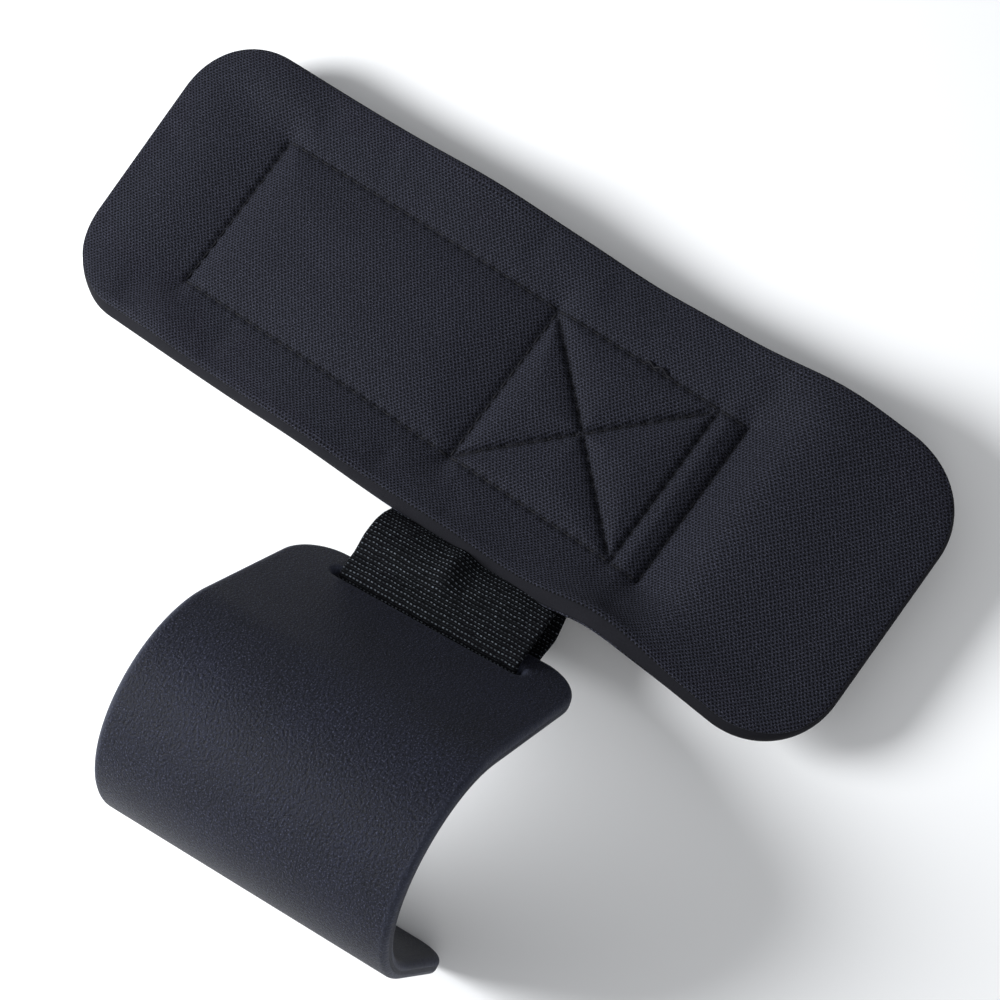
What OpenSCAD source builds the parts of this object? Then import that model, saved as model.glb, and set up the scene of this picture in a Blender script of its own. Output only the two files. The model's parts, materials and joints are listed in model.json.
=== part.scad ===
// Weight-lifting wrist hook: a foam wrist pad, a webbing strap with a ring buckle stored
// closed behind it, and a broad coated steel hook that hangs in a webbing sling.
// Millimetres. +X runs along the pad, +Y from the hook to the pad, +Z up.
// Origin: on the resting surface, under the middle of the pad. The pad's skin side faces up.

/* [Pad] */
// Length of the pad, round the wrist
pad_l = 230; // [200:1:260]
// Width of the pad, along the forearm
pad_w = 81; // [70:1:95]
// Thickness of the pad with both linings
pad_t = 5; // [4:0.5:8]
// Radius of the pad's corners
pad_r = 20; // [10:1:30]
// Thickness of the knit lining laminated to each face
lining_t = 0.4; // [0.3:0.1:0.8]

/* [Webbing] */
// Width of the strap and sling webbing
web_w = 50; // [44:1:52]
// Thickness of the webbing
web_t = 1.4; // [1.2:0.1:1.4]

/* [Sewing] */
// Where the long sewn box starts, from the middle of the pad
long_box_x = -83; // [-90:1:-70]
// Length of the long sewn box
long_box_l = 87; // [80:1:90]
// Length of the crossed box that holds the sling
cross_box_l = 49; // [46:1:50]
// Length of the narrow box that holds the ring
ring_box_l = 8; // [6:0.5:9]
// Width of all three boxes
box_w = 45; // [40:1:46]
// Distance from one stitch to the next
stitch_pitch = 3.5; // [3:0.1:5]
// Diameter of the sewing thread
thread_d = 0.6; // [0.4:0.1:0.8]

/* [Hook] */
// Width of the steel plate
plate_w = 78.7; // [70:0.1:90]
// Thickness of the steel plate
plate_t = 3; // [2:0.1:3.5]
// Thickness of the soft dipped coating
coat_t = 0.65; // [0.5:0.05:0.8]
// Length of the straight shank, from its top edge to the bend
shank_l = 44; // [38:0.5:50]
// Radius of the bend, at the middle of the plate
bend_r = 27.5; // [24:0.5:30]
// Angle of the bend
bend_deg = 155; // [150:1:158]
// Length of the straight lip after the bend
lip_l = 28; // [24:0.1:30]
// Radius of the shank's top corners
shank_corner_r = 12; // [6:1:16]
// Radius of the lip's corners
lip_corner_r = 9; // [4:1:12]
// Width of the bar between the sling slot and the top edge, with its coating
bar_w = 8; // [7.6:0.1:8]
// Length of the sling slot, inside its coating
slot_l = 53; // [52:0.5:58]
// Width of the sling slot, inside its coating
slot_w = 3.5; // [3:0.1:5]
// Slope of the shank above the resting surface
shank_slope = 53.4; // [52:0.1:55]
// Turn of the hook in its sling, seen from above
hook_yaw = 5.8; // [4:0.1:7]

/* [Buckle] */
// Diameter of the ring's wire
wire_d = 3; // [2.5:0.1:3]
// Inside length of the ring
ring_inside = 53; // [52:0.5:56]
// Distance between the ring's two long bars
ring_pitch = 12; // [11:0.5:14]
// Length of the strap end folded back from the ring
end_l = 108; // [90:1:115]
// Length of the hook-and-loop patches
patch_l = 76; // [60:1:80]
// Width of the hook-and-loop patches
patch_w = 46; // [40:1:48]
// Thickness of the loop pile patch
pile_t = 0.9; // [0.8:0.1:1]
// Thickness of the hook tape patch
tape_t = 0.9; // [0.8:0.1:1]

/* [Hidden] */
$fn = 64;

fit_gap = 0.05;            // running gap between webbing and a steel bar
free_gap = 0.2;            // gap between layers that only lie on each other
lay_gap = 0.1;             // gap left between layers that a seam pulls together
past = 1;                  // how far a cutter runs past a face
bend_steps = 48;           // flats along the hook's bend
wrap_steps = 40;           // flats along the sling's turn round the bar

// Layers under the pad, counted up from the resting surface
end_z = 0;                                     // underside of the strap end
tape_z = end_z + web_t;                        // hook tape on the strap end
pile_z = tape_z + tape_t + lay_gap;            // loop pile on the strap's run
run_z = pile_z + pile_t;                       // underside of the strap's free run
sewn_low_z = run_z + web_t + 2 * thread_d;     // sewn strap where it lies over the sling
anchor_z = sewn_low_z + web_t;                 // sling's sewn ends
pad_z = anchor_z + 2 * web_t + lay_gap;        // underside of the pad
face_z = pad_z + pad_t;                        // the pad's skin side

// Sewn boxes along the pad
cross_box_x = long_box_x + long_box_l;
ring_box_x = cross_box_x + cross_box_l;
ring_box_end = ring_box_x + ring_box_l;

// Bars of the ring: the kept bar under the pad, and the bar that the strap turns round
wire_r = wire_d / 2;
wrap_r = wire_r + fit_gap;                     // inside radius of webbing round a bar
wrap_mid_r = wrap_r + web_t / 2;
kept_bar = [ring_box_end + 7, pad_z - wrap_r - web_t];
turn_bar_z = end_z + web_t + wrap_r;
under_keeper_z = kept_bar[1] - wrap_r - web_t - free_gap - web_t / 2;
turn_bar = [kept_bar[0] + sqrt(pow(ring_pitch, 2) - pow(kept_bar[1] - turn_bar_z, 2)), turn_bar_z];
end_hinge = [turn_bar[0] - 2, end_z + web_t / 2];  // line where the strap's end bends open

// Hook and sling, set out from the middle of the bar that hangs in the sling
hook_t = plate_t + 2 * coat_t;
bar_c = bar_w / 2;
sling_x = cross_box_x + cross_box_l / 2;
sling_r = norm([bar_c, hook_t / 2]) + fit_gap; // inside radius of the sling round the bar
bar_y = -pad_w / 2 - 16.4;
lip_dir = 180 - shank_slope + bend_deg;
// Height that the lip's tip would have if the bar were at height 0
tip_drop = (shank_l - bar_c) * sin(shank_slope) - bend_r * cos(shank_slope)
         + bend_r * sin(lip_dir - 90) + lip_l * sin(lip_dir)
         - hook_t / 2 * abs(cos(lip_dir));
bar_z = -tip_drop;
sling_hinge = [bar_y + 13.2, anchor_z + web_t];

lining_color = [0.16, 0.17, 0.2];
foam_color = [0.24, 0.24, 0.26];
web_color = [0.07, 0.07, 0.08];
coat_color = [0.2, 0.2, 0.23];
thread_color = [0.05, 0.05, 0.06];

// Left-hand normal at each point of a polyline, as the mean of its two neighbours' normals
function seg_normal(a, b) = [a[1] - b[1], b[0] - a[0]] / norm(b - a);
function mitre(p, i) =
    let (last = len(p) - 1,
         n1 = seg_normal(p[max(i - 1, 0)], p[max(i, 1)]),
         n2 = seg_normal(p[min(i, last - 1)], p[min(i + 1, last)]),
         m = n1 + n2)
    m * 2 / (m * m);
function arc_points(c, r, from, to, steps) =
    [for (i = [0:steps]) let (a = from + (to - from) * i / steps) c + r * [cos(a), sin(a)]];

// A strip of even thickness that follows a line of points
module band(points, thick) {
    last = len(points) - 1;
    side_a = [for (i = [0:last]) points[i] + mitre(points, i) * thick / 2];
    side_b = [for (i = [last:-1:0]) points[i] - mitre(points, i) * thick / 2];
    polygon(concat(side_a, side_b));
}

// A webbing that follows a line of points in the XZ plane
module ribbon(points, width) {
    translate([0, width / 2, 0]) rotate([90, 0, 0]) linear_extrude(width) band(points, web_t);
}

module rounded_slab(l, w, r, t) {
    linear_extrude(t) {
        square([l - 2 * r, w], center = true);
        square([l, w - 2 * r], center = true);
        for (sx = [-1, 1], sy = [-1, 1])
            translate([sx * (l / 2 - r), sy * (w / 2 - r)]) circle(r);
    }
}

// One row of stitches from a to b, lying on the plane z
module stitch_row(a, b, z) {
    count = round(norm(b - a) / stitch_pitch);
    step = (b - a) / count;
    stitch_l = norm(step) * 0.74;
    for (i = [0:count - 1])
        translate([a[0] + step[0] * (i + 0.5), a[1] + step[1] * (i + 0.5), z])
            rotate([0, 0, atan2(step[1], step[0])]) rotate([0, 90, 0])
                cylinder(h = stitch_l, r = thread_d / 2, center = true, $fn = 16);
}

// Three or four sides of a sewn box
module stitch_box(x0, x1, w, z, left = true) {
    stitch_row([x0, w / 2], [x1, w / 2], z);
    stitch_row([x0, -w / 2], [x1, -w / 2], z);
    stitch_row([x1, -w / 2], [x1, w / 2], z);
    if (left) stitch_row([x0, -w / 2], [x0, w / 2], z);
}

// ---- Pad ----
module pad_foam() {
    color(foam_color) translate([0, 0, pad_z + lining_t])
        rounded_slab(pad_l, pad_w, pad_r, pad_t - 2 * lining_t);
}

module skin_lining() {
    color(lining_color) translate([0, 0, face_z - lining_t])
        rounded_slab(pad_l, pad_w, pad_r, lining_t);
}

module back_lining() {
    color(lining_color) translate([0, 0, pad_z])
        rounded_slab(pad_l, pad_w, pad_r, lining_t);
}

// ---- Wrist strap ----
// Sewn run under the pad, fold at the left, and free run back to the kept bar
module wrist_strap() {
    high = pad_z - web_t / 2;
    low = sewn_low_z + web_t / 2;
    run = run_z + web_t / 2;
    fold_r = (high - run) / 2;
    fold_c = [long_box_x - 17, (high + run) / 2];
    color(web_color) ribbon(concat(
        [[ring_box_end, low], [cross_box_x - 2, low], [cross_box_x - 16, high]],
        arc_points(fold_c, fold_r, 90, 270, 8),
        [[kept_bar[0] - 9, run], [kept_bar[0] - 2, under_keeper_z],
         [kept_bar[0] - free_gap, under_keeper_z]]), web_w);
}

// Short fold of webbing, sewn in the narrow box, that holds the ring
module ring_keeper() {
    leg_z = pad_z - web_t / 2;
    low_leg_z = leg_z - web_t - lay_gap / 2;
    color(web_color) ribbon(concat(
        [[ring_box_x + 1, leg_z]],
        arc_points(kept_bar, wrap_mid_r, 90, -128, 12),
        [[ring_box_end + 0.8, low_leg_z], [ring_box_x + 1, low_leg_z]]), web_w);
}

// Steel wire ring with round corners
module strap_ring() {
    tilt = atan2(kept_bar[1] - turn_bar[1], turn_bar[0] - kept_bar[0]);
    corner_r = 3.5;
    half_y = ring_inside / 2 + wire_r;
    color("silver") translate([kept_bar[0], 0, kept_bar[1]]) rotate([0, tilt, 0]) {
        for (x = [0, ring_pitch])
            translate([x, 0, 0]) rotate([90, 0, 0])
                cylinder(h = 2 * (half_y - corner_r), r = wire_r, center = true);
        for (sy = [-1, 1])
            translate([ring_pitch / 2, sy * half_y, 0]) rotate([0, 90, 0])
                cylinder(h = ring_pitch - 2 * corner_r, r = wire_r, center = true);
        for (corner = [[ring_pitch - corner_r, half_y - corner_r, 0],
                       [corner_r, half_y - corner_r, 90],
                       [corner_r, corner_r - half_y, 180],
                       [ring_pitch - corner_r, corner_r - half_y, 270]])
            translate([corner[0], corner[1], 0]) rotate([0, 0, corner[2]])
                rotate_extrude(angle = 90) translate([corner_r, 0]) circle(wire_r);
    }
}

// The strap from the kept bar round the ring's outer bar, up to the line where its end bends
module strap_turn() {
    top_z = turn_bar[1] + wrap_mid_r;
    color(web_color) ribbon(concat(
        [[kept_bar[0] + free_gap, under_keeper_z], [turn_bar[0] - 6.5, top_z - 1],
         [turn_bar[0] - 3.4, top_z]],
        arc_points(turn_bar, wrap_mid_r, 84, -90, 12),
        [[end_hinge[0] + web_t / 2 + fit_gap, end_hinge[1]]]), web_w);
}

// Free end of the strap, closed back along the stack; its hinge end is round
module strap_end() {
    color(web_color) {
        translate([turn_bar[0] - end_l, -web_w / 2, end_z])
            cube([end_hinge[0] - turn_bar[0] + end_l, web_w, web_t]);
        translate([end_hinge[0], 0, end_hinge[1]]) rotate([90, 0, 0])
            cylinder(h = web_w, r = web_t / 2, center = true);
    }
}

patch_x = turn_bar[0] - end_l + patch_l / 2 + 4;

module loop_pile_patch() {
    color([0.12, 0.12, 0.14]) translate([patch_x, 0, pile_z + pile_t / 2])
        cube([patch_l, patch_w, pile_t], center = true);
}

module hook_tape_patch() {
    color([0.1, 0.1, 0.11]) translate([patch_x, 0, tape_z + tape_t / 2])
        cube([patch_l, patch_w, tape_t], center = true);
}

// ---- Sling ----
// Two layers of webbing under the pad; their outer end is cut along the hook's own axis
module sling_anchor() {
    top_y = box_w / 2 + 2;
    out_y = sling_hinge[0] + web_t + free_gap * 1.5;
    skew = web_w / 2 * tan(hook_yaw);
    color(web_color) translate([sling_x, 0, anchor_z]) linear_extrude(2 * web_t)
        polygon([[-web_w / 2, top_y], [web_w / 2, top_y],
                 [web_w / 2, out_y + skew], [-web_w / 2, out_y - skew]]);
}

// Places a child in the frame of the hook's bar: X along the bar, origin at its middle
module at_bar() {
    translate([sling_x, bar_y, bar_z]) rotate([0, 0, hook_yaw]) children();
}

// Teardrop of two circles, the first at the origin, and the lines that touch both
module teardrop(r, foot, foot_r) {
    towards = atan2(foot[1], foot[0]);
    turn = acos((r - foot_r) / norm(foot));
    polygon(concat(arc_points([0, 0], r, towards + turn, towards - turn + 360, wrap_steps),
                   arc_points(foot, foot_r, towards - turn, towards + turn, wrap_steps / 4)));
}

// Webbing round the hook's bar, from the hinge line under the pad's edge
module sling_loop() {
    foot = sling_hinge - [bar_y, bar_z];
    inner_foot = foot * (1 - 5 / norm(foot));
    color(web_color) at_bar() rotate([90, 0, 90]) translate([0, 0, -web_w / 2])
        linear_extrude(web_w) difference() {
            teardrop(sling_r + web_t, foot, web_t);
            teardrop(sling_r, inner_foot, 0.1);
        }
}

// ---- Hook ----
// What a corner of radius r loses, from the corner circle's middle towards +X and +Y
module corner_waste(r) {
    translate([0, 0, -hook_t]) linear_extrude(2 * hook_t) difference() {
        square(r + past);
        circle(r);
    }
}

// Shank, bend and lip in the profile frame: X down the shank, Y into the mouth, Z along the bar
module hook_blank(t, w, grow) {
    top_x = coat_t - grow - bar_c;
    lip = lip_l - coat_t + grow;
    bend_c = [shank_l - bar_c, bend_r];
    end_a = bend_deg - 90;
    bend = arc_points(bend_c, bend_r, -90, end_a, bend_steps);
    lip_end = bend[bend_steps] + lip * [-sin(end_a), cos(end_a)];
    r1 = shank_corner_r - coat_t + grow;
    r2 = lip_corner_r - coat_t + grow;
    difference() {
        translate([0, 0, -w / 2]) linear_extrude(w) band(concat([[top_x, 0]], bend, [lip_end]), t);
        for (side = [0, 1]) mirror([0, 0, side]) {
            translate([top_x + r1, 0, w / 2 - r1]) rotate([90, 0, 0]) mirror([1, 0, 0])
                corner_waste(r1);
            translate(bend_c) rotate([0, 0, end_a]) translate([bend_r, lip - r2, w / 2 - r2])
                rotate([90, 0, 90]) corner_waste(r2);
        }
    }
}

module slot_cutter(grow) {
    r = slot_w / 2 + grow;
    x = bar_c + slot_w / 2;
    for (sz = [-1, 1])
        translate([x, 0, sz * (slot_l - slot_w) / 2]) rotate([90, 0, 0])
            cylinder(h = hook_t + 2 * past, r = r, center = true);
    translate([x, 0, 0]) cube([2 * r, hook_t + 2 * past, slot_l - slot_w], center = true);
}

module at_profile() {
    at_bar() rotate([180 - shank_slope, 0, 0]) rotate([90, 0, 90]) children();
}

module hook_plate() {
    color([0.5, 0.5, 0.52]) at_profile() difference() {
        hook_blank(plate_t, plate_w, 0);
        slot_cutter(coat_t);
    }
}

module hook_coating() {
    color(coat_color) at_profile() difference() {
        hook_blank(hook_t, plate_w + 2 * coat_t, coat_t);
        difference() {
            hook_blank(plate_t, plate_w, 0);
            slot_cutter(coat_t);
        }
        slot_cutter(0);
    }
}

// ---- Sewing ----
seam_z = face_z + thread_d / 2;

module stitches_long_box() {
    color(thread_color) {
        stitch_row([long_box_x, box_w / 2], [cross_box_x, box_w / 2], seam_z);
        stitch_row([long_box_x, -box_w / 2], [cross_box_x, -box_w / 2], seam_z);
        stitch_row([long_box_x, -box_w / 2], [long_box_x, box_w / 2], seam_z);
    }
}

module stitches_cross_box() {
    color(thread_color) {
        stitch_box(cross_box_x, ring_box_x, box_w, seam_z);
        inset = 1.5;
        low = [cross_box_x + inset, -box_w / 2 + inset];
        high = [ring_box_x - inset, box_w / 2 - inset];
        mid = (low + high) / 2;
        stitch_row(low, high, seam_z);
        for (end = [[low[0], high[1]], [high[0], low[1]]])
            stitch_row(end, mid + (end - mid) * 0.04, seam_z);
    }
}

module stitches_ring_box() {
    color(thread_color) stitch_box(ring_box_x, ring_box_end, box_w, seam_z, left = false);
}

// Rows that join the sling's two ends, on the sewn strap's outer side
module stitches_sling_tack() {
    z = sewn_low_z - thread_d / 2;
    color(thread_color) stitch_box(cross_box_x, ring_box_x, box_w, z);
}

module stitches_pile_patch() {
    inset = 1.5;
    z = run_z + web_t + thread_d / 2;
    color(thread_color) stitch_box(patch_x - patch_l / 2 + inset, patch_x + patch_l / 2 - inset,
                                   patch_w - 2 * inset, z);
}

// The strap end's patch seam lies sunk in the webbing, flush with its outer face
module stitches_tape_patch() {
    inset = 1.5;
    z = end_z + thread_d / 2 + 0.1;
    color(thread_color) stitch_box(patch_x - patch_l / 2 + inset, patch_x + patch_l / 2 - inset,
                                   patch_w - 2 * inset, z);
}

pad_foam();
skin_lining();
back_lining();
wrist_strap();
ring_keeper();
strap_ring();
strap_turn();
strap_end();
loop_pile_patch();
hook_tape_patch();
sling_anchor();
sling_loop();
hook_plate();
hook_coating();
stitches_long_box();
stitches_cross_box();
stitches_ring_box();
stitches_sling_tack();
stitches_pile_patch();
stitches_tape_patch();
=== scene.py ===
"""Looks of the wrist hook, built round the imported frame.

Shapes are worked out in millimetres and scaled to metres as each mesh is made.
+X runs along the pad, +Y from the hook to the pad, +Z up.
"""
import json
import math

import bmesh
import bpy
import numpy as np
from mathutils import Matrix, Vector
from mathutils.bvhtree import BVHTree
from mathutils.geometry import delaunay_2d_cdt


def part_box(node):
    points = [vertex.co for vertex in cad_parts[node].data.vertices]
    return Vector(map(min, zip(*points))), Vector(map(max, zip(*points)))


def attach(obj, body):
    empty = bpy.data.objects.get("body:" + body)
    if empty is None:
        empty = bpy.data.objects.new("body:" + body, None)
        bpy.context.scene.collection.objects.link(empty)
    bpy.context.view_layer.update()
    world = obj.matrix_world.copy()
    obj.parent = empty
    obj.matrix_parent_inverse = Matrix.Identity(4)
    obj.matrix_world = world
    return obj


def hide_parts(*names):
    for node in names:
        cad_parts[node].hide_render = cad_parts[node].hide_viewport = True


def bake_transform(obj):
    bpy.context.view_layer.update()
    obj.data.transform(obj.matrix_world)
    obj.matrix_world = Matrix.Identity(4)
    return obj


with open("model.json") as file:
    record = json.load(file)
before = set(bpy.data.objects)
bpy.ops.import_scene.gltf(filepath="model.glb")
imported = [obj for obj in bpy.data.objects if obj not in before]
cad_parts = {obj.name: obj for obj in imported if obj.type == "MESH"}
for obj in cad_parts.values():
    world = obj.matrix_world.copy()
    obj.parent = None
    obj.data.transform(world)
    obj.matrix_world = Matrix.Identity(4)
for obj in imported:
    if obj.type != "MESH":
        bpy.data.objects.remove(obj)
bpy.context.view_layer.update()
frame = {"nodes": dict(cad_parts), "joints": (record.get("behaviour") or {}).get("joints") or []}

MM = 0.001
rng = np.random.default_rng(11)


# ---------- sizes from the frame

def box_mm(node):
    """Lowest and highest corner of a CAD node, in millimetres."""
    low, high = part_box(node)
    return np.array(low) / MM, np.array(high) / MM


def joint_mm(name):
    """Where a joint's axis lies, in millimetres."""
    found = next(j for j in frame["joints"] if j["name"] == name)
    return np.array(found["pos_m"]) / MM


def metres(point):
    return Vector(point) * MM


pad_low = box_mm("back_lining")[0]
skin_low, pad_high = box_mm("skin_lining")
PAD_HALF_L = pad_high[0]
PAD_HALF_W = pad_high[1]
PAD_T = pad_high[2] - pad_low[2]
PAD_MID_Z = (pad_high[2] + pad_low[2]) / 2
LINING_T = pad_high[2] - skin_low[2]
PAD_CORNER_R = 20.0

long_low, long_high = box_mm("stitches_long_box")
cross_low, cross_high = box_mm("stitches_cross_box")
THREAD_D = long_high[2] - long_low[2]
THREAD_R = THREAD_D / 2
LONG_X = long_low[0] + THREAD_R
CROSS_X = cross_low[0] + THREAD_R
RING_X = cross_high[0] - THREAD_R
RING_END = box_mm("stitches_ring_box")[1][0] - THREAD_R
BOX_HALF_W = cross_high[1] - THREAD_R
STITCH_PITCH = 3.5
STITCH_SHARE = 0.74     # share of the pitch that the thread lies on the surface
DIAGONAL_INSET = 1.5

anchor_low, anchor_high = box_mm("sling_anchor")
WEB_T = (anchor_high[2] - anchor_low[2]) / 2
WEB_W = anchor_high[0] - anchor_low[0]
SLING_X = (anchor_high[0] + anchor_low[0]) / 2
LAYER_GAP = 0.05        # kept between layers that lie on each other

kept_bar = joint_mm("ring_swivel")[[0, 2]]
end_hinge = joint_mm("strap_peel")[[0, 2]]
turn_low, turn_high = box_mm("strap_turn")
turn_bar = np.array([turn_high[0] - (turn_high[2] - turn_low[2]) / 2,
                     (turn_high[2] + turn_low[2]) / 2])
end_low = box_mm("strap_end")[0]

hook_bar = joint_mm("hook_pivot")
HOOK_YAW = math.radians(5.8)
SHANK_SLOPE = math.radians(53.4)
HOOK_T = 4.3
HOOK_HALF_W = 40.0
SHANK_L = 44.0
BEND_R = 27.5
BEND = math.radians(155)
LIP_L = 28.0
SHANK_CORNER_R = 12.0
LIP_CORNER_R = 9.0
BAR_W = 8.0
SLOT_W = 3.5
SLOT_L = 53.0


# ---------- mesh making

def make_mesh(name, points, faces, **values):
    """A smooth mesh object from points in millimetres, with named values on its points."""
    mesh = bpy.data.meshes.new(name)
    mesh.from_pydata((np.asarray(points) * MM).tolist(), [], faces)
    for key, value in values.items():
        value = np.asarray(value, np.float32)
        is_number = value.ndim == 1
        layer = mesh.attributes.new(key, "FLOAT" if is_number else "FLOAT_VECTOR", "POINT")
        layer.data.foreach_set("value" if is_number else "vector", value.ravel())
    shell = bmesh.new()
    shell.from_mesh(mesh)
    bmesh.ops.recalc_face_normals(shell, faces=shell.faces)
    shell.to_mesh(mesh)
    shell.free()
    mesh.shade_smooth()
    made = bpy.data.objects.new(name, mesh)
    bpy.context.scene.collection.objects.link(made)
    return made


def grid_faces(rows, cols, first=0):
    """Quads of a grid of points whose index is first + row * cols + column."""
    i, j = np.meshgrid(np.arange(rows - 1), np.arange(cols - 1), indexing="ij")
    a = (first + i * cols + j).ravel()
    return np.stack([a, a + cols, a + cols + 1, a + 1], axis=-1).tolist()


def grid_rim(rows, cols):
    """Indices round the edge of a grid, in order."""
    index = np.arange(rows * cols).reshape(rows, cols)
    return np.concatenate([index[:-1, 0], index[-1, :-1], index[:0:-1, -1], index[0, :0:-1]])


def loop_faces(a, b):
    """Quads between two closed loops of point indices."""
    return np.stack([a, np.roll(a, -1), np.roll(b, -1), b], axis=-1).tolist()


def closed_shell(name, top, bottom, walls=(), weave=None, **values):
    """A closed mesh between two grids of points, with extra loops of points down its wall."""
    rows, cols = top.shape[:2]
    count = rows * cols
    rim = grid_rim(rows, cols)
    points = [top.reshape(-1, 3), bottom.reshape(-1, 3)]
    faces = grid_faces(rows, cols) + grid_faces(rows, cols, count)
    above = rim
    first = 2 * count
    for wall in walls:
        points.append(wall)
        here = first + np.arange(len(rim))
        faces += loop_faces(above, here)
        above = here
        first += len(rim)
    faces += loop_faces(above, rim + count)
    points = np.concatenate(points)
    return make_mesh(name, points, faces, weave=points if weave is None else weave, **values)


# ---------- materials

COURSE_PITCH = 1.10     # repeat of the knit's lattice of holes along the pad
WALE_PITCH = 1.36       # and across it
WEFT_PITCH = 1.16       # from one weft row of the webbing to the next
WARP_PITCH = 1.02       # from one glinting warp yarn to the next along a row


def add_node(tree, kind, inputs=(), **settings):
    """A shader node with its settings, and its inputs set to values or linked to sockets."""
    made = tree.nodes.new(kind)
    for key, value in settings.items():
        setattr(made, key, value)
    for key, value in dict(inputs).items():
        socket = made.inputs[key]
        if isinstance(value, bpy.types.NodeSocket):
            tree.links.new(value, socket)
        else:
            socket.default_value = value
    return made


class Finish:
    """A material under construction, with short calls for the nodes that it uses."""

    def __init__(self, name, **surface):
        self.material = bpy.data.materials.new(name)
        self.material.use_nodes = True
        self.tree = self.material.node_tree
        self.shader = self.tree.nodes["Principled BSDF"]
        for key, value in surface.items():
            self.shader.inputs[key.replace("_", " ")].default_value = value

    def math(self, operation, *values, clamp=False):
        inputs = {i: value for i, value in enumerate(values)}
        return add_node(self.tree, "ShaderNodeMath", inputs, operation=operation,
                        use_clamp=clamp).outputs[0]

    def place(self, attribute=None):
        """The point's own coordinates, or a named value on the mesh."""
        if attribute is None:
            return add_node(self.tree, "ShaderNodeTexCoord").outputs["Object"]
        return add_node(self.tree, "ShaderNodeAttribute", attribute_name=attribute
                        ).outputs["Vector"]

    def value(self, attribute):
        return add_node(self.tree, "ShaderNodeAttribute", attribute_name=attribute
                        ).outputs["Fac"]

    def axes(self, vector):
        return add_node(self.tree, "ShaderNodeSeparateXYZ", {0: vector}).outputs

    def noise(self, vector, scale, detail=2.0, roughness=0.5):
        return add_node(self.tree, "ShaderNodeTexNoise",
                        {"Vector": vector, "Scale": scale, "Detail": detail,
                         "Roughness": roughness}).outputs["Fac"]

    def ramp(self, value, low, high, to_low=0.0, to_high=1.0):
        return add_node(self.tree, "ShaderNodeMapRange",
                        {"Value": value, "From Min": low, "From Max": high,
                         "To Min": to_low, "To Max": to_high}).outputs["Result"]

    def mix(self, share, a, b):
        """A colour between a and b."""
        made = add_node(self.tree, "ShaderNodeMix", data_type="RGBA")
        for socket, value in ((made.inputs[0], share), (made.inputs[6], a), (made.inputs[7], b)):
            if isinstance(value, bpy.types.NodeSocket):
                self.tree.links.new(value, socket)
            elif isinstance(value, (int, float)):
                socket.default_value = value
            else:
                socket.default_value = (*value, 1.0)
        return made.outputs[2]

    def bump(self, height, depth_mm, strength=1.0, under=None):
        inputs = {"Height": height, "Distance": depth_mm * MM, "Strength": strength}
        if under is not None:
            inputs["Normal"] = under
        return add_node(self.tree, "ShaderNodeBump", inputs).outputs["Normal"]

    def finish(self, **links):
        for key, value in links.items():
            self.tree.links.new(value, self.shader.inputs[key.replace("_", " ")])
        return self.material


def wave(look, value, period):
    """A sine along a value, with a period in its own units."""
    return look.math("SINE", look.math("MULTIPLY", value, 2 * math.pi / period))


def knit_material():
    """Fine warp knit: raised loops on a diamond lattice with small holes between, the holes
    darkened as painted shade.
    """
    look = Finish("knit", Roughness=0.72, Sheen_Weight=0.02, Sheen_Roughness=0.4,
                  Specular_IOR_Level=0.09)
    place = look.place("weave")
    x, y, _ = look.axes(place)
    stray = look.math("MULTIPLY", look.math("SUBTRACT", look.noise(place, 0.35), 0.5), 0.5)
    y = look.math("ADD", y, stray)
    x = look.math("ADD", x, stray)
    holes = look.math("MULTIPLY", wave(look, x, COURSE_PITCH), wave(look, y, WALE_PITCH))
    columns = wave(look, look.math("ADD", y, WALE_PITCH / 8), WALE_PITCH / 2)
    height = look.ramp(look.math("SUBTRACT", holes, look.math("MULTIPLY", columns, 0.5)),
                       0.95, -0.15)
    fuzz = look.noise(place, 4.0, 3.0, 0.6)
    cloud = look.noise(place, 0.045, 2.0)
    worn = look.noise(place, 0.9, 2.0)
    yarn = look.mix(cloud, (0.0052, 0.0056, 0.0092), (0.0098, 0.0105, 0.0168))
    yarn = look.mix(look.ramp(worn, 0.45, 0.75, 0.0, 0.6), yarn, (0.0145, 0.0153, 0.024))
    bright = look.mix(look.ramp(fuzz, 0.5, 0.72), yarn, (0.080, 0.083, 0.115))
    # Painted shade: the colour darkens where the relief is low, in the lattice's holes.
    colour = look.mix(height, (0.0006, 0.0006, 0.0010), bright)
    # Painted shade: the colour darkens along the seams' creases, by the crease value from
    # seam_shade.
    colour = look.mix(look.math("MULTIPLY", look.value("crease"), 0.62), colour,
                      (0.0012, 0.0012, 0.0018))
    normal = look.bump(fuzz, 0.06, 0.6, look.bump(height, 0.14, 1.0))
    return look.finish(Base_Color=colour, Normal=normal)


def foam_material():
    """Cut edge of closed-cell foam."""
    look = Finish("cut_foam", Roughness=0.9, Specular_IOR_Level=0.10)
    place = look.place("weave")
    cells = look.noise(place, 2.5, 4.0, 0.7)
    cloud = look.noise(place, 0.2, 2.0)
    colour = look.mix(cells, (0.006, 0.006, 0.008), (0.015, 0.015, 0.019))
    colour = look.mix(look.ramp(cloud, 0.3, 0.8, 0.0, 0.35), colour, (0.006, 0.006, 0.008))
    return look.finish(Base_Color=colour, Normal=look.bump(cells, 0.1, 0.8))


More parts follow.
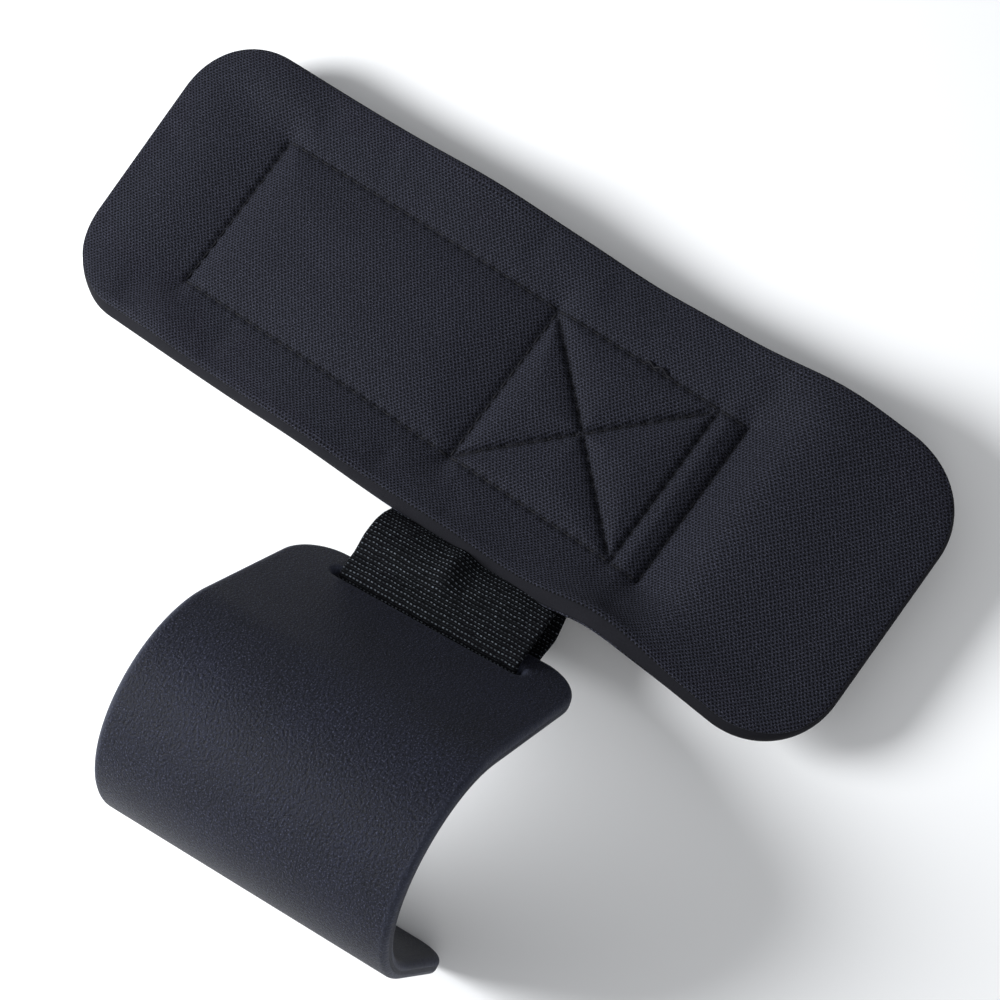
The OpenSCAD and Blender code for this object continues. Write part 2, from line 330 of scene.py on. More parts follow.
def webbing_material():
    """Nylon webbing: weft rows across the width, crossed by warp yarns whose glints are painted
    into the colour, with painted shade between the rows.
    """
    look = Finish("nylon_webbing", Specular_IOR_Level=0.05)
    place = look.place("weave")
    across, along, _ = look.axes(place)
    stray = look.math("MULTIPLY", look.math("SUBTRACT", look.noise(place, 0.35), 0.5), 0.7)
    row = look.math("MULTIPLY", look.math("ADD", along, stray), 1 / WEFT_PITCH)
    ridge = look.math("ABSOLUTE", look.math("SINE", look.math("MULTIPLY", row, math.pi)))
    odd = look.math("MULTIPLY", look.math("FLOOR", row), WARP_PITCH * 0.43)
    yarn = look.ramp(wave(look, look.math("ADD", across, odd), WARP_PITCH), -0.35, 0.35)
    top = look.ramp(ridge, 0.90, 0.985)
    between_rows = look.math("MULTIPLY", look.ramp(ridge, 0.22, 0.05), 0.35)
    dash = look.math("MULTIPLY", yarn, look.math("ADD", top, between_rows))
    fibre = look.noise(place, 3.0, 3.0)
    lustre = look.ramp(look.noise(place, 0.8, 1.0), 0.35, 0.72, 0.15, 1.0)
    # Painted highlights: the warp yarns' glints, on the rows' tops and fainter between them, broken
    # up by the lustre noise.
    glint = look.math("MULTIPLY", dash, lustre)
    # Painted shade: the ground is darker down in the valleys between the rows than on their tops.
    ground = look.mix(ridge, (0.0008, 0.0008, 0.001), (0.004, 0.0043, 0.0055))
    colour = look.mix(glint, ground, (0.15, 0.17, 0.195))
    height = look.math("ADD", look.math("MULTIPLY", ridge, 0.6),
                       look.math("MULTIPLY", dash, 0.4))
    normal = look.bump(fibre, 0.04, 0.5, look.bump(height, 0.22, 1.0))
    rough = look.ramp(dash, 0.0, 1.0, 0.8, 0.4)
    return look.finish(Base_Color=colour, Roughness=rough, Normal=normal)


def thread_material():
    """Bonded nylon sewing thread."""
    look = Finish("sewing_thread", Roughness=0.6, Specular_IOR_Level=0.12)
    place = look.place()
    twist = look.noise(place, 2600.0, 2.0)
    colour = look.mix(twist, (0.003, 0.003, 0.004), (0.014, 0.014, 0.018))
    return look.finish(Base_Color=colour, Normal=look.bump(twist, 0.06, 0.8))


def patch_material(name, noise, dark, pale, relief, **surface):
    """A side of the hook-and-loop closure: one noise gives its colour and its relief."""
    look = Finish(name, **surface)
    fuzz = look.noise(look.place("weave"), *noise)
    return look.finish(Base_Color=look.mix(fuzz, dark, pale), Normal=look.bump(fuzz, *relief))


def coating_material():
    """Soft dipped coating on the hook: matte, with a fine grain and painted sparkle, lighter at its
    edges, partly wear and partly a painted highlight.
    """
    look = Finish("soft_coating", Specular_IOR_Level=0.14, Sheen_Weight=0.02)
    place = look.place("weave")
    grain = look.noise(place, 1.5, 3.0, 0.6)
    cloud = look.noise(place, 0.05, 3.0)
    colour = look.mix(look.ramp(grain, 0.3, 0.7), (0.0008, 0.001, 0.002), (0.0158, 0.0178, 0.0335))
    colour = look.mix(look.ramp(cloud, 0.35, 0.7, 0.0, 0.5), colour, (0.0045, 0.005, 0.008))
    # Painted sparkle: small lighter specks in the colour stand in for glints of the grain.
    sparkle = look.ramp(look.noise(place, 2.4, 2.0, 0.6), 0.56, 0.70)
    colour = look.mix(look.math("MULTIPLY", sparkle, 0.8), colour, (0.063, 0.069, 0.113))
    # Lighter edges: partly wear and partly a painted highlight along the plate's rounded edges,
    # broken up by the cloud noise.
    edge = look.math("MULTIPLY", look.value("edge"), look.ramp(cloud, 0.3, 0.7, 0.3, 1.0))
    colour = look.mix(look.math("MULTIPLY", edge, 0.55), colour, (0.066, 0.073, 0.108))
    rough = look.ramp(grain, 0.3, 0.7, 0.48, 0.66)
    normal = look.bump(sparkle, 0.10, 0.8, look.bump(grain, 0.35, 1.0))
    return look.finish(Base_Color=colour, Roughness=rough, Normal=normal)


def steel_material(name, colour, roughness):
    """Plated or bare steel with fine draw marks."""
    look = Finish(name, Metallic=1.0)
    place = look.place()
    marks = look.noise(place, 900.0, 4.0, 0.7)
    cloud = look.noise(place, 60.0, 2.0)
    tone = look.mix(cloud, colour, tuple(0.75 * part for part in colour))
    rough = look.ramp(marks, 0.3, 0.7, roughness * 0.8, roughness * 1.25)
    return look.finish(Base_Color=tone, Roughness=rough, Normal=look.bump(marks, 0.02, 0.4))


knit = knit_material()
cut_foam = foam_material()
nylon = webbing_material()
thread = thread_material()
pile = patch_material("loop_pile", (1.6, 5.0, 0.75), (0.003, 0.003, 0.004), (0.03, 0.03, 0.035),
                      (0.35, 1.0), Roughness=0.95, Sheen_Weight=0.08, Specular_IOR_Level=0.1)
tape = patch_material("hook_tape", (1.2, 3.0), (0.008, 0.008, 0.010), (0.025, 0.025, 0.029),
                      (0.1, 0.6), Roughness=0.45, Specular_IOR_Level=0.25)
coating = coating_material()
plated_steel = steel_material("plated_steel", (0.62, 0.62, 0.64), 0.28)
bare_steel = steel_material("bare_steel", (0.42, 0.41, 0.40), 0.5)


def dress(piece, material):
    """Gives a piece its material."""
    piece.data.materials.clear()
    piece.data.materials.append(material)


# ---------- pad

SEAM_SINK = 2.7         # how deep a seam pulls the skin into the foam
CREASE_W = 0.55         # half width of the sharp crease at a seam
SHOULDER_W = 3.1        # how fast the pillow beside a seam rises
PUCKER = 0.26           # how much the skin stands up between one stitch and the next
THINNEST = 1.4          # thickness left where a seam pulls the pad together
SKIN_STEP = 0.575       # spacing of the skin's points
MARGIN = PAD_HALF_W - BOX_HALF_W    # width of the pad outside its sewn boxes
CUT_SLOPE = 0.9         # how far the skin's lower edge lies in from the back's

# Each seam: its two ends and how strongly it pulls
SEAMS = [((x0, y), (x1, y), pull)
         for x0, x1, pull in ((LONG_X, CROSS_X, 0.42), (CROSS_X, RING_X, 0.55),
                              (RING_X, RING_END, 0.55))
         for y in (BOX_HALF_W, -BOX_HALF_W)]
SEAMS += [((x, -BOX_HALF_W), (x, BOX_HALF_W), pull)
          for x, pull in ((LONG_X, 0.85), (CROSS_X, 1.2), (RING_X, 0.95), (RING_END, 1.1))]
SEAMS += [((CROSS_X + DIAGONAL_INSET, y), (RING_X - DIAGONAL_INSET, -y), 1.0)
          for y in (DIAGONAL_INSET - BOX_HALF_W, BOX_HALF_W - DIAGONAL_INSET)]


def rounded_grid(half_l, half_w, corner, step):
    """A grid of points that fills a rounded rectangle, with rows along X."""
    rows = 2 * round(half_l / step) + 1
    cols = 2 * round(half_w / step) + 1
    x, y = np.meshgrid(np.linspace(-half_l, half_l, rows),
                       np.linspace(-half_w, half_w, cols), indexing="ij")
    u = np.maximum(np.abs(x) - (half_l - corner), 0) / corner
    v = np.maximum(np.abs(y) - (half_w - corner), 0) / corner
    x = np.sign(x) * (np.minimum(np.abs(x), half_l - corner) + corner * u * np.sqrt(1 - v * v / 2))
    y = np.sign(y) * (np.minimum(np.abs(y), half_w - corner) + corner * v * np.sqrt(1 - u * u / 2))
    return x, y


def edge_distance(x, y):
    """How far inside the pad's outline a point is."""
    qx = np.abs(x) - (PAD_HALF_L - PAD_CORNER_R)
    qy = np.abs(y) - (PAD_HALF_W - PAD_CORNER_R)
    outside = np.hypot(np.maximum(qx, 0), np.maximum(qy, 0))
    return PAD_CORNER_R - outside - np.minimum(np.maximum(qx, qy), 0)


def seam_place(x, y, a, b):
    """Distance from a seam, and how far along it the nearest point is."""
    a, b = np.array(a), np.array(b)
    length = np.linalg.norm(b - a)
    along = (b - a) / length
    t = (x - a[0]) * along[0] + (y - a[1]) * along[1]
    inside = np.clip(t, 0, length)
    away = np.hypot(x - a[0] - inside * along[0], y - a[1] - inside * along[1])
    return away, inside, length


def seam_sink(x, y):
    """How far the seams pull the skin down."""
    deepest = np.zeros_like(x)
    for a, b, pull in SEAMS:
        away, along, length = seam_place(x, y, a, b)
        pitch = length / round(length / STITCH_PITCH)
        gaps = PUCKER * np.cos(2 * np.pi * along / pitch) * np.exp(-(away / 1.0) ** 2)
        valley = 0.3 * np.exp(-(away / CREASE_W) ** 2)
        valley += 0.7 * np.exp(-(np.hypot(away, 0.3) - 0.3) / SHOULDER_W)
        deepest = np.maximum(deepest, SEAM_SINK * pull * valley - gaps)
    return deepest


def seam_shade(x, y):
    """Painted shade along the seams: how strongly the knit's colour is darkened in each seam's
    crease, more where the seam pulls harder.
    """
    shade = np.zeros_like(x)
    for a, b, pull in SEAMS:
        away = seam_place(x, y, a, b)[0]
        shade = np.maximum(shade, min(1.0, 0.45 + 0.5 * pull) * np.exp(-(away / 0.75) ** 2))
    return shade


def soft_step(value, low, high):
    t = np.clip((value - low) / (high - low), 0, 1)
    return t * t * (3 - 2 * t)


def hump(value, middle, width):
    return np.exp(-((value - middle) / width) ** 2)


# Wide hollows in line with the boxes: where, how wide to the left and right, how deep
HOLLOWS = ((CROSS_X, 13, 4, 1.3), (RING_END, 4, 9, 0.8), (LONG_X, 8, 4, 0.8))
HOLLOW_FADE = 9         # how far past the boxes' long sides the hollows and the crown fade out
CROWN = (-38, 24, 0.9)  # where the long box stands proud, how far along, how high
# Lumps of the margin: where, their reach along and across the pad, how high
LUMPS = (((-80, -34), (11, 8), 1.9), ((-92, 33), (11, 8), 1.6))


def broad_dips(x, y):
    """How far the face lies low where the webbing changes thickness, less its crown and lumps."""
    within = 1 - soft_step(np.abs(y), BOX_HALF_W, BOX_HALF_W + HOLLOW_FADE)
    at, reach, high = CROWN
    dips = -high * within * hump(x, at, reach)
    for at, left, right, deep in HOLLOWS:
        dips = dips + deep * within * np.where(x < at, hump(x, at, left), hump(x, at, right))
    for (at_x, at_y), (along, across), high in LUMPS:
        dips = dips - high * hump(x, at_x, along) * hump(y, at_y, across)
    return dips


def curl(distance, turn):
    """How far in and up a margin's point lies when the margin's edge is turned up by an angle."""
    here = turn * distance / MARGIN
    across = MARGIN * np.sin(here) / turn
    return distance - across, MARGIN * (1 - np.cos(here)) / turn


# Each bend of the pad: its value everywhere, then humps as (where, reach, height) along X
LOW_TURN = (0.26, (18, 26, 0.28), (60, 17, 0.72))       # how far the lower margin turns up
HIGH_TURN = (0.10, (-60, 25, 0.06))                     # and the upper margin, in radians
LIFT = (0.0, (-28, 20, 2.6), (78, 20, 3.8))             # how far the margins and free end rise
SWAY = (0.0, (-28, 18, 0.2), (78, 18, 1.4))             # how far they move towards +Y
UPPER_DIP, UPPER_DRAW = (0.0, (21, 15, 1.0)), (0.0, (22, 15, 0.4))  # upper margin down and in
FREE_LENGTH = 16        # how far past the last seam the pad takes up the whole lift
LEFT_LIFT = 1.2         # how far the left end's tip stands up
LEFT_SKEW = -0.052      # slant of the left end
ENDS_X = 80             # where both ends' own bends start


def profile(x, humps):
    """A value along the pad: a constant with humps on it."""
    return humps[0] + sum(high * hump(x, at, reach) for at, reach, high in humps[1:])


def pad_middle(x, y):
    """The pad's middle layer, bent: its lower margin curls up and its free end rides a wave."""
    low_turn, high_turn = profile(x, LOW_TURN), profile(x, HIGH_TURN)
    below = np.maximum(-y - BOX_HALF_W, 0)
    above = np.maximum(y - BOX_HALF_W, 0)
    low_in, low_up = curl(below, low_turn)
    high_in, high_up = curl(above, high_turn)
    out = np.clip((np.abs(y) - BOX_HALF_W + 2) / MARGIN, 0, 1) ** 1.5
    free = 1 - (1 - out) * (1 - soft_step(x, RING_END, RING_END + FREE_LENGTH))
    lift = profile(x, LIFT) - profile(x, UPPER_DIP) * (y > 0)
    sway = profile(x, SWAY) - profile(x, UPPER_DRAW) * (y > 0)
    left_end = np.clip((-x - ENDS_X) / (PAD_HALF_L - ENDS_X), 0, 1)
    skew = LEFT_SKEW * y * soft_step(-x, ENDS_X - 10, PAD_HALF_L)
    z = PAD_MID_Z + low_up + high_up + lift * free + LEFT_LIFT * left_end ** 2
    longer = 0.6 * soft_step(x, ENDS_X, PAD_HALF_L) - 0.25 * soft_step(-x, ENDS_X, PAD_HALF_L)
    return np.stack([x + skew + longer, y + low_in - high_in + sway * free, z], axis=-1)


def pad_layer(x, y, height):
    """Points of the pad at a height above its middle layer, square to its bend."""
    small = 0.05
    along = pad_middle(x + small, y) - pad_middle(x - small, y)
    across = pad_middle(x, y + small) - pad_middle(x, y - small)
    normal = np.cross(along, across)
    normal /= np.linalg.norm(normal, axis=-1)[..., None]
    return pad_middle(x, y) + normal * np.asarray(height)[..., None]


def pad_skin_height(x, y):
    """Height of the skin face above the pad's middle layer."""
    rounded = 0.45 * np.exp(-(edge_distance(x, y) / 0.9) ** 2)
    height = PAD_T / 2 - seam_sink(x, y) - broad_dips(x, y) - rounded
    return np.maximum(height, THINNEST - PAD_T / 2)


SIM_STEP = 1.5          # spacing of the simulated skin's points
SIM_SCALE = 10.0        # the cloth solver works on a pad ten times as large
SIM_FRAMES = 22
SIM_CAP = 0.9           # furthest that the simulation may move a point
CLOTH = dict(quality=5, mass=0.4, tension_stiffness=20, compression_stiffness=12,
             shear_stiffness=8, bending_stiffness=6, shrink_min=-0.002,
             vertex_group_mass="held", use_pressure=True, uniform_pressure_force=1.0)


def pinned(x, y):
    """Whether a point of the skin is held down: on a seam or at the pad's edge."""
    held = edge_distance(x, y) < 1.2
    for a, b, _ in SEAMS:
        held |= seam_place(x, y, a, b)[0] < 0.8
    return held


def between(coarse, shape):
    """A grid of values spread evenly over a finer grid."""
    rows = np.linspace(0, coarse.shape[0] - 1, shape[0])
    cols = np.linspace(0, coarse.shape[1] - 1, shape[1])
    tall = np.stack([np.interp(rows, np.arange(coarse.shape[0]), column)
                     for column in coarse.T], axis=-1)
    return np.stack([np.interp(cols, np.arange(coarse.shape[1]), row) for row in tall])


def simulated_swell(shape):
    """How far cloth under a slight pressure rises between the seams that hold it down."""
    x, y = rounded_grid(PAD_HALF_L, PAD_HALF_W, PAD_CORNER_R, SIM_STEP)
    start = pad_skin_height(x, y)
    grid = np.stack([x, y, start], axis=-1).reshape(-1, 3) * SIM_SCALE
    cloth = make_mesh("skin_under_test", grid, grid_faces(*x.shape))
    group = cloth.vertex_groups.new(name="held")
    group.add(np.flatnonzero(pinned(x, y).ravel()).tolist(), 1.0, "REPLACE")
    solver = cloth.modifiers.new("cloth", "CLOTH")
    for key, value in CLOTH.items():
        setattr(solver.settings, key, value)
    solver.settings.effector_weights.gravity = 0
    solver.collision_settings.use_collision = False
    solver.collision_settings.use_self_collision = False
    solver.point_cache.frame_start = 1
    solver.point_cache.frame_end = SIM_FRAMES
    for step in range(1, SIM_FRAMES + 1):
        bpy.context.scene.frame_set(step)
    settled = cloth.evaluated_get(bpy.context.evaluated_depsgraph_get()).to_mesh()
    places = np.empty(len(settled.vertices) * 3)
    settled.vertices.foreach_get("co", places)
    rise = places.reshape(*x.shape, 3)[..., 2] / MM / SIM_SCALE - start
    bpy.data.objects.remove(cloth)
    bpy.context.scene.frame_set(1)
    return between(np.clip(rise, -SIM_CAP, SIM_CAP), shape)


def make_pad():
    x, y = rounded_grid(PAD_HALF_L, PAD_HALF_W, PAD_CORNER_R, SKIN_STEP)
    drawn_in = y + CUT_SLOPE * soft_step(-y, BOX_HALF_W + 6, PAD_HALF_W)
    skin_height = pad_skin_height(x, y)
    skin_height = skin_height + simulated_swell(x.shape)
    skin_top = pad_layer(x, drawn_in, skin_height)
    skin_bottom = pad_layer(x, drawn_in, skin_height - LINING_T)
    flat_place = np.stack([x, y, 0 * x], axis=-1).reshape(-1, 3)
    # The crease value on the skin is the painted shade along the seams.
    skin = closed_shell("knit_skin", skin_top, skin_bottom,
                        weave=np.concatenate([flat_place, flat_place]),
                        crease=np.tile(seam_shade(x, y).ravel(), 2))
    half = (slice(None, None, 2), slice(None, None, 2))
    cx, cy = x[half], y[half]
    rim = grid_rim(*cx.shape)
    back_height = np.full_like(cx, -PAD_T / 2) + 0.3 * np.exp(-(edge_distance(cx, cy) / 0.9) ** 2)
    foam_top = pad_layer(cx, drawn_in[half], skin_height[half] - LINING_T - 0.02)
    foam_bottom = pad_layer(cx, cy, back_height + LINING_T + 0.02)
    top_rim, bottom_rim = foam_top.reshape(-1, 3)[rim], foam_bottom.reshape(-1, 3)[rim]
    out = pad_layer(cx * 1.001, cy * 1.001, 0 * cx) - pad_layer(cx, cy, 0 * cx)
    out = out.reshape(-1, 3)[rim]
    out /= np.linalg.norm(out, axis=1)[:, None]
    walls = []
    for share in np.linspace(0, 1, 8)[1:-1]:
        bulge = 0.35 * math.sin(math.pi * share)
        walls.append(top_rim * (1 - share) + bottom_rim * share + bulge * out)
    foam = closed_shell("foam_core", foam_top, foam_bottom, walls)
    back = closed_shell("knit_back", pad_layer(cx, cy, back_height + LINING_T),
                        pad_layer(cx, cy, back_height))
    for piece, material, slot, node in ((skin, knit, "knit_lining", "skin_lining"),
                                        (foam, cut_foam, "foam", "pad_foam"),
                                        (back, knit, "knit_lining", "back_lining")):
        dress(piece, material)
        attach(piece, "pad")
        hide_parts(node)
    return skin


# ---------- stitches

def stitch_centres(a, b):
    """Middle of each stitch on the row from a to b, the row's direction and a stitch's length."""
    a, b = np.array(a, float), np.array(b, float)
    count = round(np.linalg.norm(b - a) / STITCH_PITCH)
    step = (b - a) / count
    middles = a + step * (np.arange(count)[:, None] + 0.5)
    length = np.linalg.norm(step)
    return middles, step / length, length * STITCH_SHARE


TUBE_SIDES = 8          # points round a thread
STITCH_RINGS = 9        # rings of points along one stitch


def tube_faces(first, rings):
    """Faces of a closed tube of thread, from the index of its first point."""
    ends = first + np.arange(TUBE_SIDES), first + (rings - 1) * TUBE_SIDES + np.arange(TUBE_SIDES)
    faces = [ends[0].tolist(), ends[1][::-1].tolist()]
    for ring in range(rings - 1):
        low = ends[0] + ring * TUBE_SIDES
        faces += loop_faces(low, low + TUBE_SIDES)
    return faces


def tube_ring(centre, normal, along, rise, half_w, half_h):
    """One ring of points of a thread along a direction, at a height above the cloth."""
    side = np.cross(normal, [*along[:2], 0.0])
    side /= np.linalg.norm(side)
    return [centre + normal * (rise + half_h * math.sin(turn)) + side * half_w * math.cos(turn)
            for turn in np.arange(TUBE_SIDES) * 2 * math.pi / TUBE_SIDES]


def thread_stitches(name, rows, surface):
    """Stitches of thread along rows; surface(x, y) gives a point on the cloth and its normal."""
    points, faces = [], []
    for a, b in rows:
        middles, along, length = stitch_centres(a, b)
        for middle in middles:
            wobble = rng.normal(0, 0.05, 2)
            faces += tube_faces(len(points), STITCH_RINGS)
            for t in np.linspace(-1, 1, STITCH_RINGS):
                place = middle + along * (t * length / 2) + wobble
                point, normal = surface(*place)
                rise = THREAD_R * (-0.05 - 1.7 * t ** 6)
                half_w = THREAD_R * (1 - 0.25 * t ** 4)
                points += tube_ring(point, normal, along, rise, half_w, 0.9 * half_w)
    made = make_mesh(name, points, faces)
    dress(made, thread)
    return made


def cloth_surface(piece):
    """A function that finds the top of a piece under a point."""
    tree = BVHTree.FromPolygons([v.co for v in piece.data.vertices],
                                [tuple(p.vertices) for p in piece.data.polygons])

    def find(x, y):
        place, normal, _, _ = tree.ray_cast(Vector((x * MM, y * MM, 0.1)), Vector((0, 0, -1)))
        return np.array(place) / MM, np.array(normal)
    return find


def flat_surface(z, up):
    """A flat cloth at height z that faces up or down."""
    return lambda x, y: (np.array([x, y, z]), np.array([0.0, 0.0, up]))


def box_rows(x0, x1, half_w, ends):
    """Rows of a sewn box: its two long sides, and a row across it at each of the ends."""
    rows = [((x0, half_w), (x1, half_w)), ((x0, -half_w), (x1, -half_w))]
    return rows + [((x, -half_w), (x, half_w)) for x in ends]


def loose_thread(points, surface):
    """A slack loop of thread above the cloth, as the points and faces of a tube."""
    fine = np.linspace(0, 1, 25)
    known = np.linspace(0, 1, len(points))
    line = np.stack([np.interp(fine, known, part) for part in np.transpose(points)], axis=-1)
    line[1:-1] = (line[:-2] + 2 * line[1:-1] + line[2:]) / 4
    tube = []
    for k, (x, y, rise) in enumerate(line):
        centre, normal = surface(x, y)
        along = line[min(k + 1, len(line) - 1)] - line[max(k - 1, 0)]
        tube += tube_ring(centre, normal, along, rise, THREAD_R, THREAD_R)
    return tube, tube_faces(0, len(line))


def make_stitches(skin):
    on_skin = cloth_surface(skin)
    slack = [(30.5, BOX_HALF_W, -0.3), (32.0, BOX_HALF_W + 0.8, 0.4), (34.0, BOX_HALF_W + 0.5, 0.8),
             (36.0, BOX_HALF_W + 1.1, 0.7), (38.0, BOX_HALF_W + 0.4, 0.5), (39.5, BOX_HALF_W, -0.3)]
    loose = make_mesh("loose_thread", *loose_thread(slack, on_skin))
    dress(loose, thread)
    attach(loose, "pad")
    low = np.array([CROSS_X + DIAGONAL_INSET, -BOX_HALF_W + DIAGONAL_INSET])
    high = np.array([RING_X - DIAGONAL_INSET, BOX_HALF_W - DIAGONAL_INSET])
    middle = (low + high) / 2
    sewn_ends = (RING_X, CROSS_X)
    cross_rows = box_rows(CROSS_X, RING_X, BOX_HALF_W, sewn_ends) + [(low, high)]
    for end in (np.array([low[0], high[1]]), np.array([high[0], low[1]])):
        cross_rows.append((end, middle + (end - middle) * 0.04))
    long_rows = box_rows(LONG_X, CROSS_X, BOX_HALF_W, (LONG_X,))
    ring_rows = box_rows(RING_X, RING_END, BOX_HALF_W, (RING_END,))
    for name, rows, node in (("long_box_thread", long_rows, "stitches_long_box"),
                             ("cross_box_thread", cross_rows, "stitches_cross_box"),
                             ("ring_box_thread", ring_rows, "stitches_ring_box")):
        made = thread_stitches(name, rows, on_skin)
        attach(made, "pad")
        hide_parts(node)
    tack = thread_stitches("sling_tack_thread",
                           box_rows(CROSS_X, RING_X, BOX_HALF_W, sewn_ends),
                           flat_surface(box_mm("stitches_sling_tack")[1][2], -1.0))
    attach(tack, "pad")
    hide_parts("stitches_sling_tack")
    for node, name, body, up in (("stitches_pile_patch", "pile_patch_thread", "pad", 1.0),
                                 ("stitches_tape_patch", "tape_patch_thread", "strap_end", -1.0)):
        seam_low, seam_high = box_mm(node)
        z = seam_low[2] if up > 0 else seam_high[2] - 0.1
        x0, x1 = seam_low[0] + THREAD_R, seam_high[0] - THREAD_R
        rows = box_rows(x0, x1, seam_high[1] - THREAD_R, (x1, x0))
        made = thread_stitches(name, rows, flat_surface(z, up))
        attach(made, body)
        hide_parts(node)


# ---------- webbing

RIB_RELIEF = 0.09       # how far a weft row stands above the valley between rows
PATH_STEP = 0.26        # spacing of points along a webbing


def arc(centre, radius, start, end, steps=16):
    """Points on an arc, with angles in degrees."""
    angles = np.radians(np.linspace(start, end, steps + 1))
    return np.array(centre) + radius * np.stack([np.cos(angles), np.sin(angles)], axis=-1)


def run_lengths(points):
    """How far along a line each of its points is."""
    return np.concatenate([[0], np.cumsum(np.linalg.norm(np.diff(points, axis=0), axis=1))])


def even_path(points, soften=1.6):
    """Evenly spaced points along a line, with its corners softened."""
    points = np.asarray(points, float)
    along = run_lengths(points)
    at = np.linspace(0, along[-1], max(3, round(along[-1] / PATH_STEP) + 1))
    line = np.stack([np.interp(at, along, points[:, k]) for k in range(2)], axis=-1)
    reach = max(1, round(soften / PATH_STEP / 2))
    kernel = np.hanning(2 * reach + 3)[1:-1]
    kernel /= kernel.sum()
    lead = line[0] + (line[0] - line[1]) * np.arange(reach, 0, -1)[:, None]
    trail = line[-1] + (line[-1] - line[-2]) * np.arange(1, reach + 1)[:, None]
    padded = np.concatenate([lead, line, trail])
    return np.stack([np.convolve(padded[:, k], kernel, "valid") for k in range(2)], axis=-1)


def path_normals(line):
    run = np.gradient(line, axis=0)
    run /= np.linalg.norm(run, axis=1)[:, None]
    return np.stack([-run[:, 1], run[:, 0]], axis=-1)


def webbing(name, line, place, across_step=1.0, crease=None):
    """A woven strap along a line. place(u, section) puts points of its section in space."""
    normals = path_normals(line)
    s = run_lengths(line)
    columns = round(WEB_W / across_step) + 1
    inner = np.linspace(-WEB_W / 2 + 1.2, WEB_W / 2 - 1.2, columns)
    edge = np.array([0.0, 0.12, 0.35, 0.7])
    u = np.concatenate([-WEB_W / 2 + edge, inner, WEB_W / 2 - edge[::-1]])
    to_edge = np.minimum(WEB_W / 2 - np.abs(u), 0.7) / 0.7
    half = WEB_T / 2 * np.sqrt(np.maximum(1 - (1 - to_edge) ** 2, 0))
    rib = RIB_RELIEF * (np.abs(np.sin(np.pi * s / WEFT_PITCH)) - 1)
    flank = np.clip((WEB_W / 2 - np.abs(u)) / 1.2, 0, 1)
    height = half[None, :] + rib[:, None] * flank[None, :]
    shift = crease(s[:, None], u[None, :]) if crease else np.zeros((len(s), len(u)))
    m = len(u)
    ring_u = np.concatenate([u, u[-2:0:-1]])
    ring_h = np.concatenate([height + shift, (shift - height)[:, -2:0:-1]], axis=1)
    ring_side = np.concatenate([np.ones(m), -np.ones(m - 2)])
    size = len(ring_u)
    section = line[:, None, :] + normals[:, None, :] * ring_h[:, :, None]
    points = place(np.broadcast_to(ring_u, ring_h.shape), section)
    weave = np.stack([np.broadcast_to(ring_u, ring_h.shape),
                      np.broadcast_to(s[:, None], ring_h.shape),
                      np.broadcast_to(ring_side, ring_h.shape)], axis=-1)
    faces = []
    for i in range(len(s) - 1):
        row = i * size + np.arange(size)
        faces += loop_faces(row, row + size)
    for start in (0, (len(s) - 1) * size):
        top = start + np.arange(m)
        bottom = np.concatenate([[top[0]], start + np.arange(size - 1, m - 1, -1), [top[-1]]])
        for k in range(m - 1):
            corners = [top[k], top[k + 1], bottom[k + 1], bottom[k]]
            faces.append(list(dict.fromkeys(int(c) for c in corners)))
    made = make_mesh(name, points.reshape(-1, 3), faces, weave=weave.reshape(-1, 3))
    dress(made, nylon)
    return made


def across_y(u, section):
    """The section's plane is XZ, and the webbing's width runs along Y."""
    return np.stack([section[..., 0], u, section[..., 1]], axis=-1)


def make_straps():
    """The strap's sewn and free runs with its turn round the ring, its end, and the keeper."""
    wrap_r = turn_bar[1] - end_hinge[1]
    run_low, run_high = box_mm("wrist_strap")
    high = run_high[2] - WEB_T / 2
    run = box_mm("loop_pile_patch")[1][2] + WEB_T / 2
    sewn = anchor_low[2] - WEB_T / 2
    fold_r = (high - run) / 2
    fold_c = np.array([run_low[0] + fold_r + WEB_T / 2, (high + run) / 2])
    under_keeper = kept_bar[1] - wrap_r - WEB_T - 0.15 - WEB_T / 2
    over_turn = turn_bar[1] + wrap_r
    strap_line = np.concatenate([
        [[RING_END, sewn], [CROSS_X - 2, sewn], [CROSS_X - 16, high]],
        arc(fold_c, fold_r, 90, 270),
        [[kept_bar[0] - 9, run], [kept_bar[0] - 3, under_keeper], [kept_bar[0], under_keeper],
         [turn_bar[0] - 6.5, over_turn - 1], [turn_bar[0] - 3.4, over_turn]],
        arc(turn_bar, wrap_r, 84, -90),
        [[end_hinge[0] + 1.7, end_hinge[1]]]])
    run_piece = webbing("strap_run", even_path(strap_line, soften=1.0), across_y)
    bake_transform(run_piece)
    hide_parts("wrist_strap", "strap_turn")
    tail_line = np.array([[end_hinge[0] + 1.6, end_hinge[1]], [end_low[0], end_hinge[1]]])
    tail = webbing("strap_tail", even_path(tail_line), across_y)
    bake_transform(tail)
    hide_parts("strap_end")
    leg = pad_low[2] - WEB_T / 2
    keeper_low = box_mm("ring_keeper")[0]
    keeper_line = np.concatenate([[[keeper_low[0], leg]], arc(kept_bar, wrap_r, 90, -128),
                                  [[RING_END + 0.8, leg - WEB_T - 0.1],
                                   [RING_X + 1, leg - WEB_T - 0.1]]])
    keeper = webbing("ring_keeper_fold", even_path(keeper_line, soften=0.8), across_y)
    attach(keeper, "pad")
    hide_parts("ring_keeper")


# ---------- sling

SLING_EDGE = 19.0       # how far from the bar the sling comes out from under the pad
SLING_STRAIGHT = 32.0   # how far from the bar its width lies square to the pad again
SLING_SKEW = 0.9        # sideways slip of the webbing at the pad's edge


